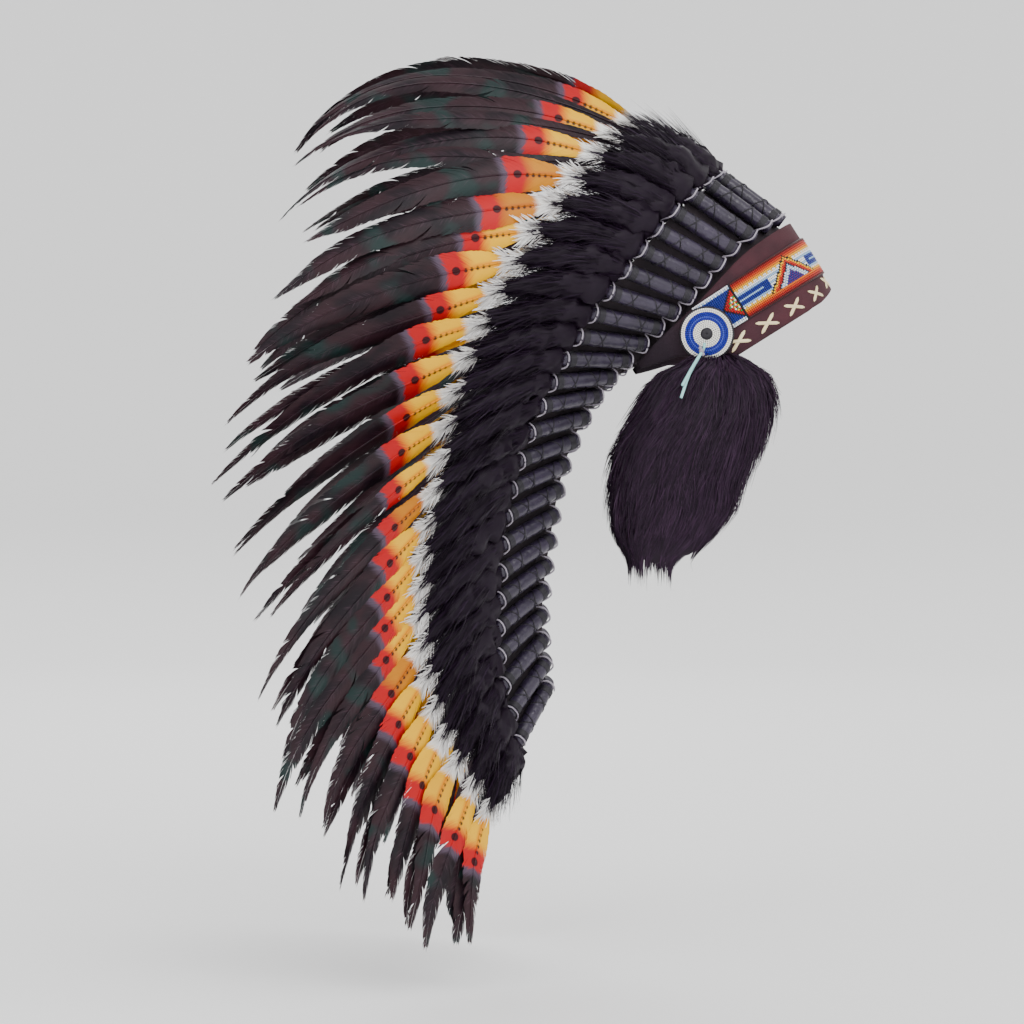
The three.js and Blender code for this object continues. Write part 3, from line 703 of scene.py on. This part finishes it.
def make_row_lace(name, at, side):
    """A pale lace along the row of wraps, over each and down between them."""
    points = []
    for number, shaft in SHAFTS.items():
        if number > 0:
            low = -min(float(room_at(shaft, np.array(at))), 10.0)
            points += [shaft.place(at, low, -4.0), shaft.place(at - 0.6, -6.0, 4.2)]
        points += [shaft.place(at, 0.0, 7.4), shaft.place(at + 0.6, 6.0, 4.2)]
    shape = Shape()
    shape.tube(smooth_path(points, 520), 0.75, sides=5)
    piece(f"row_lace_{name}", shape, [PALE], (), side)


PLUME_PARTS = (
    ("feathers", make_feathers, [FEATHER], 1000),
    ("down", make_down, [DOWN, FLUFF], 3000),
    ("wrap", make_wrap, [WRAP_LEATHER, THREAD], 5000),
)
for number, shaft in SHAFTS.items():
    for side, letter in SIDES if number else SIDES[:1]:
        name = f"{letter}{number:02d}" if number else "c"
        for part, make, looks, seed in PLUME_PARTS:
            shape = Shape()
            make(shape, shaft, seeded(seed, side, number))
            piece(f"{part}_{name}", shape, looks, [f"plume_{name}"], side)
for side, letter in SIDES:
    make_row_lace(f"lower_{letter}", LACE_LOWER, side)
    make_row_lace(f"upper_{letter}", LACE_UPPER, side)


# ---- The headband and its beads ----

RING_MEAN = 90
HEADBAND_PLUMES = 11
STITCH_PITCH, STITCH_FIRST, STITCH_LAST = 28, math.radians(15.5), math.radians(80)
STITCH_HALF, STITCH_RISE, STITCH_WIDTH, STITCH_UP = 8.2 / RING_MEAN, 4.9, 2.7, 8.6


def lower_edge(angle):
    degrees, heights = np.array(LOWER_EDGE, float).T
    return np.interp(np.degrees(np.abs(angle)), degrees, heights)


def add_ribbon(shape, first, last, rise):
    """A flat lace over the leather between two points (angle, height), with tapered ends."""
    first, last = np.array(first), np.array(last)
    q = np.linspace(0, 1, 9)[:, None]
    along = unit((last - first) * [RING_MEAN, 1])
    aside = np.array([-along[1] / RING_MEAN, along[0]])
    half = STITCH_WIDTH / 2 * np.minimum(1, 0.3 + 3 * np.sin(np.pi * q))
    section = np.array([(-1, 0.1), (-0.6, 0.8), (0, 1), (0.6, 0.8), (1, 0.1)])
    path = first + (last - first) * q
    flat = path[:, None, :] + aside * section[:, :1] * half[:, None]
    out = 0.15 + rise * section[:, 1] * np.sin(np.pi * q) ** 0.4
    shape.sheets(ring_point(flat[..., 0], flat[..., 1], out), look=1)


def make_headband():
    """The suede wall with rounded edges, and the cross stitches along its lower edge."""
    shape = Shape()
    numbers = np.linspace(-HEADBAND_PLUMES, HEADBAND_PLUMES, 133)
    angle, height = on_ring(np.array([plume_start(abs(number)) for number in numbers]))
    angle = (np.abs(angle) * np.sign(numbers))[:, None]
    low, high = lower_edge(angle), height[:, None] - 5
    q = np.linspace(0, 1, 9)
    up = low + (high - low) * q
    pillow = 0.25 * np.sin(np.pi * q)
    outer = ring_point(angle, up, pillow - 0.1)
    inner = ring_point(angle, up[:, ::-1], 0.1 - LEATHER - pillow)
    lip = ring_point(angle, high + 0.3, [-0.7, 0.7 - LEATHER])
    foot = ring_point(angle, low - 0.3, [0.7 - LEATHER, -0.7])
    # Painted shade: the suede darkens towards the rear of the ring, where shade falls.
    painted_shade = np.interp(np.degrees(np.abs(angle)), [0, 60, 105, 120], [0.0, 0.1, 0.75, 0.95])
    shape.sheets(np.concatenate([outer, lip, inner, foot], axis=1), tone=painted_shade, closed=True)
    for hand in (-1, 1):
        for centre in ring_angles(STITCH_PITCH, STITCH_LAST) + STITCH_FIRST:
            middle = lower_edge(centre) + STITCH_UP
            left, right = hand * centre - STITCH_HALF, hand * centre + STITCH_HALF
            add_ribbon(shape, (left, middle - STITCH_RISE), (right, middle + STITCH_RISE), 0.9)
            add_ribbon(shape, (left, middle + STITCH_RISE), (right, middle - STITCH_RISE), 1.5)
    piece("headband_suede", shape, [SUEDE, CREAM], ["headband"])


BEAD_PITCH, BEAD_ROWS = 1.75, 20
BEAD_PROFILE = [(-0.46, 0.5), (-0.28, 1.0), (0.28, 1.0), (0.46, 0.5)]  # shares of length and radius
BAND_BEAD, ROSETTE_BEAD = (1.72, 0.86), (1.68, 0.84)  # length and radius
SEAM = math.radians(78)
BEAD_WHITE, BEAD_BLUE, BEAD_NIGHT = (0.82, 0.83, 0.86), (0.006, 0.020, 0.22), (0.004, 0.003, 0.010)
BEAD_RED, BEAD_YELLOW, BEAD_PURPLE = (0.42, 0.004, 0.004), (0.90, 0.52, 0.005), (0.10, 0.008, 0.14)
BEAD_ORANGE, BEAD_GREEN, BEAD_SKY = (0.72, 0.10, 0.003), (0.02, 0.22, 0.05), (0.30, 0.46, 0.68)
ROSETTE_WHITE, ROSETTE_BLUE, ROSETTE_LINE = (0.90, 0.89, 0.84), (0.008, 0.018, 0.32), (0.06, 0.09, 0.50)

# The loomed pattern, in rows and columns of beads: stripes from each edge inward, and stepped
# triangles whose outlines are given by their depth under the slope.
STRIPES = [
    (0.07, 0.001, 0.003), (0.30, 0.004, 0.002), (0.52, 0.035, 0.001), (0.70, 0.15, 0.001),
    (0.80, 0.40, 0.003),
]
TRIANGLE_FIRST, TRIANGLE_EVERY, TRIANGLE_HALF = 38, 60, 17
TRIANGLE_FOOT, TRIANGLE_TOP, SLOPE = 4, 17.5, 0.8
OUTLINES = ((1, BEAD_NIGHT), (2, BEAD_YELLOW), (3, BEAD_ORANGE), (4.4, BEAD_RED), (5.2, BEAD_NIGHT))
CHECKS = (BEAD_YELLOW, BEAD_GREEN, BEAD_RED, BEAD_WHITE)


def end_colour(column, row, past_seam):
    """The blue piece by the rosette, with a checked triangle."""
    edge = min(row, BEAD_ROWS - 1 - row)
    if edge < 2:
        return BEAD_WHITE if edge == 0 or column % 2 else BEAD_SKY
    rim = abs(row - (BEAD_ROWS - 1) / 2) + 1.1 * (past_seam - 1) - 7.5
    if rim < -2:
        return CHECKS[(2 * column + row) % 4]
    if rim < 0:
        return BEAD_RED
    return BEAD_NIGHT if rim < 1 else BEAD_BLUE


def triangle_colour(column, row, depth):
    for limit, colour in OUTLINES:
        if depth < limit:
            return colour
    odd = (column + row) % 2
    if depth < 8:
        return BEAD_WHITE if odd else BEAD_SKY
    return BEAD_PURPLE if odd else BEAD_BLUE


def band_colour(column, row, seam_at):
    """Columns count from the front, rows from the band's lower edge."""
    if column > seam_at:
        return end_colour(column, row, column - seam_at)
    if column == seam_at:
        return BEAD_NIGHT
    if column < 9 and 6 <= row <= 14 and row - 6 <= 9 - column:
        return BEAD_BLUE if (column // 2 + row // 2) % 2 else BEAD_WHITE
    half_way = TRIANGLE_EVERY // 2
    aside = abs((column - TRIANGLE_FIRST + half_way) % TRIANGLE_EVERY - half_way)
    depth = TRIANGLE_TOP - SLOPE * aside - row
    if row >= TRIANGLE_FOOT and depth >= 0 and aside <= TRIANGLE_HALF:
        return triangle_colour(column, row, depth)
    edge = min(row, BEAD_ROWS - 1 - row)
    if edge < len(STRIPES):
        return STRIPES[edge]
    if 7 <= row <= 11 and aside > 14 and (row != 9 or aside < 19):
        return BEAD_BLUE
    if edge == len(STRIPES):
        return BEAD_YELLOW if column % 3 == 0 else BEAD_WHITE
    return BEAD_SKY if row % 3 == 0 else BEAD_WHITE


def add_beads(shape, colours, centre, axis, facing, size, paint):
    """Adds beads by their middles, the directions of their holes and outward, and colours."""
    length, radius = size
    aside = np.cross(axis, facing)
    turn = turns(6)[:, None]
    ring = np.cos(turn) * aside[:, None, :] + np.sin(turn) * facing[:, None, :]
    rows = [
        centre[:, None, :] + axis[:, None, :] * along * length + ring * wide * radius
        for along, wide in BEAD_PROFILE
    ]
    shape.sheets(np.stack(rows, 1), closed=True)
    colours.append(np.repeat(np.array(paint), len(BEAD_PROFILE) * len(turn), axis=0))


def bead_piece(name, shape, colours, replaced, side=1):
    """Makes a piece whose beads carry their colours. They come before what they are sewn on."""
    made = piece(name, shape, [BEAD, THREAD], [replaced], side)
    painted, every = np.concatenate(colours), np.ones((shape.count, 4))
    every[: len(painted), :3] = painted
    add_attribute(made.data, "bead", "FLOAT_COLOR", "color", every)


def make_beaded_band():
    shape, colours = Shape(), []
    outset, half = GAP + BAND_THICK - 0.9, 0.01
    angles = ring_angles(BEAD_PITCH, ROSETTE_ANGLE, outset)
    seam_at = int(np.searchsorted(angles, SEAM))
    for hand in (-1, 1):
        columns = np.arange(0 if hand > 0 else 1, len(angles))
        rows = np.arange(BEAD_ROWS)
        column, row = (each.ravel() for each in np.meshgrid(columns, rows, indexing="ij"))
        angle = hand * angles[column]
        high = BAND_HIGH - BAND_NARROWS * (1 - np.cos(angle))
        height = BAND_LOW + (row + 0.5) * (high - BAND_LOW) / BEAD_ROWS
        middle = ring_point(angle, height, outset)
        after, before = (ring_point(angle + turn, height, outset) for turn in (half, -half))
        along = unit(after - before)
        up = RING_UP + 0 * along
        paint = [band_colour(c, r, seam_at) for c, r in zip(column, row)]
        add_beads(shape, colours, middle, up, np.cross(along, up), BAND_BEAD, paint)
    fine = np.linspace(-ROSETTE_ANGLE, ROSETTE_ANGLE, 121)
    high = BAND_HIGH - BAND_NARROWS * (1 - np.cos(fine))
    low = np.full_like(fine, BAND_LOW)
    backing = [(low, GAP), (low - 0.5, 0.9), (low, 1.5), (high, 1.5), (high + 0.5, 0.9), (high, GAP)]
    grid = np.stack([ring_point(fine, height, out) for height, out in backing], 1)
    shape.sheets(grid, closed=True, look=1)
    bead_piece("beaded_band_beads", shape, colours, "beaded_band")


def rosette_frame():
    """The middle of a rosette's back, and its directions along the ring, up and out."""
    half = 0.05
    back = ring_point(ROSETTE_ANGLE, ROSETTE_HEIGHT, 2 * GAP + BAND_THICK)
    along = unit(ring_point(ROSETTE_ANGLE + half, 0, 0) - ring_point(ROSETTE_ANGLE - half, 0, 0))
    out = unit(np.cross(along, RING_UP))
    return back, along, np.cross(out, along), out


def ring_colour(radius):
    """A pale ground with a blue ring, which has a lighter line in its middle."""
    if not 12 < radius < 17.3:
        return ROSETTE_WHITE
    return ROSETTE_LINE if 13.6 < radius < 15.2 else ROSETTE_BLUE


def make_rosette(side, letter):
    """Rings of beads on a dish, with a black knob in the middle."""
    back, along, up, out = rosette_frame()
    shape, colours = Shape(), []

    def dish(radius):
        return ROSETTE_THICK * np.interp(radius / ROSETTE_RADIUS, [0, 0.9, 1], [0.62, 0.5, 0.25])

    def lay(radius, angle, lift):
        radius, angle, lift = np.broadcast_arrays(radius, angle, lift)
        flat = np.cos(angle)[..., None] * along + np.sin(angle)[..., None] * up
        return back + flat * radius[..., None] + out * lift[..., None]

    for radius in np.arange(5.6, 21.5, 1.62):
        count = int(2 * np.pi * radius / 1.7)
        angle = 2 * np.pi * np.arange(count) / count + radius
        axis = unit(-np.sin(angle)[:, None] * along + np.cos(angle)[:, None] * up)
        facing, paint = np.broadcast_to(out, axis.shape), [ring_colour(radius)] * count
        add_beads(shape, colours, lay(radius, angle, dish(radius)), axis, facing, ROSETTE_BEAD, paint)
    rim = ROSETTE_RADIUS
    base = [(0.2, 0.1), (rim, 0.1), (rim + 0.3, 0.8), (rim - 0.4, 1.5), (20, 1.6), (0.2, 1.6)]
    knob = [(4.9, 1.4), (5.0, 2.4), (4.2, 3.4), (2.6, 4.0), (0.9, 4.1), (0.2, 3.2)]
    for profile in (base, knob):
        radii, lifts = np.array(profile).T[..., None]
        shape.sheets(lay(radii, turns(40), lifts), closed=True, look=1)
    bead_piece(f"rosette_beads_{letter}", shape, colours, f"rosette_{letter}", side)


make_headband()
make_beaded_band()
for side, letter in SIDES:
    make_rosette(side, letter)


# ---- The laces and the fur drops ----

LACE_RADIUS = 1.2
LACE_ENDS = [(113, 30, -61), (115, 31, -71)]
KNOT_BEADS = [(0.0, 2.2), (-2.6, 1.7), (2.4, 1.6)]  # height from the knot, radius

# Each fur drop by its levels: height, place ahead, half its length from front to back, half its
# thickness and place to the side. Below it the strands gather to tips, by place ahead and height.
FUR_ROWS = [
    (-41.4, 0, 30, 5, 86),
    (-50, -3, 46, 9, 89),
    (-66, -5, 52, 13, 93),
    (-85, -10, 56, 15, 96),
    (-114, -23, 57, 15.5, 98),
    (-141, -31, 51, 14, 98),
    (-162, -34, 47, 12, 98),
    (-189, -43, 35, 9, 97),
    (-205, -51, 20, 5, 97),
]
FUR_TIPS = [-61, -43, -14]
FUR_GATHERS, FUR_LOWEST = -178, -228
FUR_STRANDS, FUR_CROWN, FUR_LOCKS, FUR_SEED = 9200, 2000, 220, 70


def make_knot(knot, side, letter):
    shape = Shape()
    turn, tilt = turns(12), np.linspace(-1.5, 1.5, 7)[:, None]
    ball = np.stack([np.cos(tilt) * np.cos(turn), np.cos(tilt) * np.sin(turn), np.sin(tilt) + 0 * turn], -1)
    for lift, size in KNOT_BEADS:
        shape.sheets(knot + [0.6, 0.4 * lift, lift] + ball * size, closed=True)
    return piece(f"tie_beads_{letter}", shape, [PALE], [f"tie_{letter}"], side)


def make_ties(side, letter):
    """Two lace ends through a knot with small beads, lying on the fur."""
    back, _, _, out = rosette_frame()
    start = back + out * (ROSETTE_THICK + GAP + LACE_RADIUS) + [0, 1.5, -7.5]
    knot = start + out * 1.8 + [0, 2.5, -6.5]
    knots = make_knot(knot, side, letter)
    for i, end in enumerate(np.array(LACE_ENDS, float)):
        middle = (knot + end) / 2 + out * 3
        first = [start, start + [1.5, 1.2, -6]] if i == 0 else [knot + [0, 0, 2.0]]
        line = smooth_path([*first, knot + [0.8 * i, 0, -1], middle + [0, 1.5 * i, 0], end], 25)
        shape = Shape()
        near_ends = line[[0, -1]] * 0.95 + line[[1, -2]] * 0.05
        shape.tube(np.insert(line, [1, len(line) - 1], near_ends, axis=0), LACE_RADIUS, sides=8)
        made = piece(f"tie_lace_{letter}{i + 1}", shape, [TURQUOISE], [f"tie_{letter}"], side)


def fur_form(level):
    """Place ahead, half length, half thickness and place to the side, at levels of a drop."""
    heights, *columns = np.array(FUR_ROWS, float).T
    return [np.interp(-level, -heights, column) for column in columns]


def fur_flow(level, angle, scale):
    """Points round a drop. Near its foot they gather to the nearest tip."""
    forward, long, thick, aside = fur_form(level)
    ahead = forward + long * np.cos(angle) * scale
    tips = np.array(FUR_TIPS, float)
    nearest = tips[np.argmin(np.abs(ahead[..., -1:, None] - tips), axis=-1)]
    pull = np.clip((FUR_GATHERS - level) / 60, 0, 0.6)
    ahead = ahead + (nearest - ahead) * pull
    thick = thick * (1 - 0.5 * pull)
    return np.stack([aside + thick * np.sin(angle) * scale, -ahead, np.maximum(level, FUR_LOWEST)], -1)


def make_fur(side, letter):
    """A drop of long fur: a dark core, and locks of strands that fan down from its crown."""
    rng, shape = seeded(FUR_SEED, side), Shape()
    levels, turn = np.linspace(FUR_ROWS[0][0], FUR_ROWS[-1][0], 24), turns(36)
    forward, long, thick, aside = fur_form(levels)
    long[[0, -1]] = thick[[0, -1]] = 0.5
    rough = 1 + 0.03 * rng.normal(size=(len(levels), len(turn)))
    x = aside[:, None] + 0.86 * thick[:, None] * np.sin(turn) * rough
    y = -forward[:, None] - 0.9 * long[:, None] * np.cos(turn) * rough
    shape.sheets(np.stack([x, y, levels[:, None] + 0 * turn], -1), tone=0.1, closed=True)

    count, crown, q = FUR_STRANDS, FUR_CROWN, np.linspace(0, 1, 6)
    lock = rng.integers(0, FUR_LOCKS, count)
    level = -38 - rng.uniform(0, 1, count) ** 0.9 * 158
    angle = 2 * np.pi * (lock + rng.normal(0, 0.5, count)) / FUR_LOCKS
    length = rng.uniform(30, 58, count) * np.interp(-level, [40, 150, 200], [1, 0.75, 0.35])
    length = length * (1 + 0.25 * rng.normal(size=FUR_LOCKS)[lock])
    start = np.full(count, 0.82)
    start[:crown] = rng.uniform(0.1, 0.95, crown)
    level[:crown] = -32 - 9 * start[:crown] ** 2 + rng.uniform(-2, 1, crown)
    loose = rng.uniform(0.98, 1.09, count) + 0.04 * rng.normal(size=FUR_LOCKS)[lock]
    scale = start[:, None] + (loose - start)[:, None] * q**0.7
    swirl = (0.10 * rng.normal(size=FUR_LOCKS)[lock] + 0.07 * rng.normal(size=count))[:, None] * q
    path = fur_flow(level[:, None] - length[:, None] * q**1.2, angle[:, None] + swirl, scale)
    path[:crown, :, 0] -= 10 * np.clip(1 - 2.2 * q, 0, 1)
    facing = np.stack([np.sin(angle), -0.25 * np.cos(angle), 0 * angle], -1)[:, None, :]
    facing = facing + rng.normal(0, 0.3, (count, 1, 3))
    width = rng.uniform(0.5, 1.0, count)[:, None] * (1 - 0.92 * q**2)
    tones = rng.random(FUR_LOCKS)[lock] ** 2 * 0.7 + rng.random(count) ** 4 * 0.8
    shape.strands(path, facing, width, tone=np.clip(tones, 0, 1)[:, None, None])
    piece(f"fur_{letter}", shape, [FUR], [f"fur_drop_{letter}"], side)


for side, letter in SIDES:
    make_fur(side, letter)
    make_ties(side, letter)


# ---- What is kept from the solids, the floor, the light and the camera ----

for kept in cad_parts.values():
    if not kept.hide_render:
        kept.data.materials.clear()
        kept.data.materials.append(BACKING)

FLOOR, STAGE_MIDDLE, STAGE_GREY = -545, 150, (0.93, 0.93, 0.93)
STAGE_ROWS = [(0.2, 0), (2500, 0), (4000, 50), (5200, 350), (6200, 1000), (6900, 2000), (7300, 3200)]
# The light and the camera are placed in metres.
LIGHTS_AT, WORLD_STRENGTH = (0, 0.15, -0.15), 1.25
CAMERA_PLACE, CAMERA_AHEAD, CAMERA_LENS = (-2.5, 0.1673, -0.1631), (1, 0, 0), 104


def make_stage():
    """A pale floor that curves up into an open backdrop on all sides."""
    shape, turn = Shape(), turns(64)
    radii, heights = np.array(STAGE_ROWS).T[..., None]
    x, y = radii * np.cos(turn), STAGE_MIDDLE + radii * np.sin(turn)
    shape.sheets(np.stack([x, y, FLOOR + heights + 0 * turn], -1), closed=True)
    mesh_object("stage", shape, [new_look("stage", 0.9, STAGE_GREY)[0]])


def aim(thing, place, ahead):
    """Puts a light or the camera at a place, and turns it to a direction."""
    thing.location = place
    thing.rotation_euler = Vector(ahead).to_track_quat("-Z", "Y").to_euler()
    bpy.context.scene.collection.objects.link(thing)


def add_light(name, place, power, size):
    data = bpy.data.lights.new(name, "AREA")
    data.energy, data.size = power, size
    aim(bpy.data.objects.new(name, data), place, Vector(LIGHTS_AT) - Vector(place))


make_stage()
add_light("key", (-3.0, -1.4, 2.4), 75, 2.0)
add_light("side", (-2.6, 2.6, 1.4), 35, 2.0)
add_light("far", (3.2, 0.6, 2.4), 60, 2.5)
world = bpy.data.worlds.new("studio")
world.use_nodes = True
sky = world.node_tree.nodes["Background"].inputs
sky["Color"].default_value, sky["Strength"].default_value = (1, 1, 1, 1), WORLD_STRENGTH
bpy.context.scene.world = world

camera = bpy.data.objects.new("camera", bpy.data.cameras.new("camera"))
camera.data.lens, camera.data.sensor_width = CAMERA_LENS, 36
aim(camera, CAMERA_PLACE, CAMERA_AHEAD)
bpy.context.scene.camera = camera
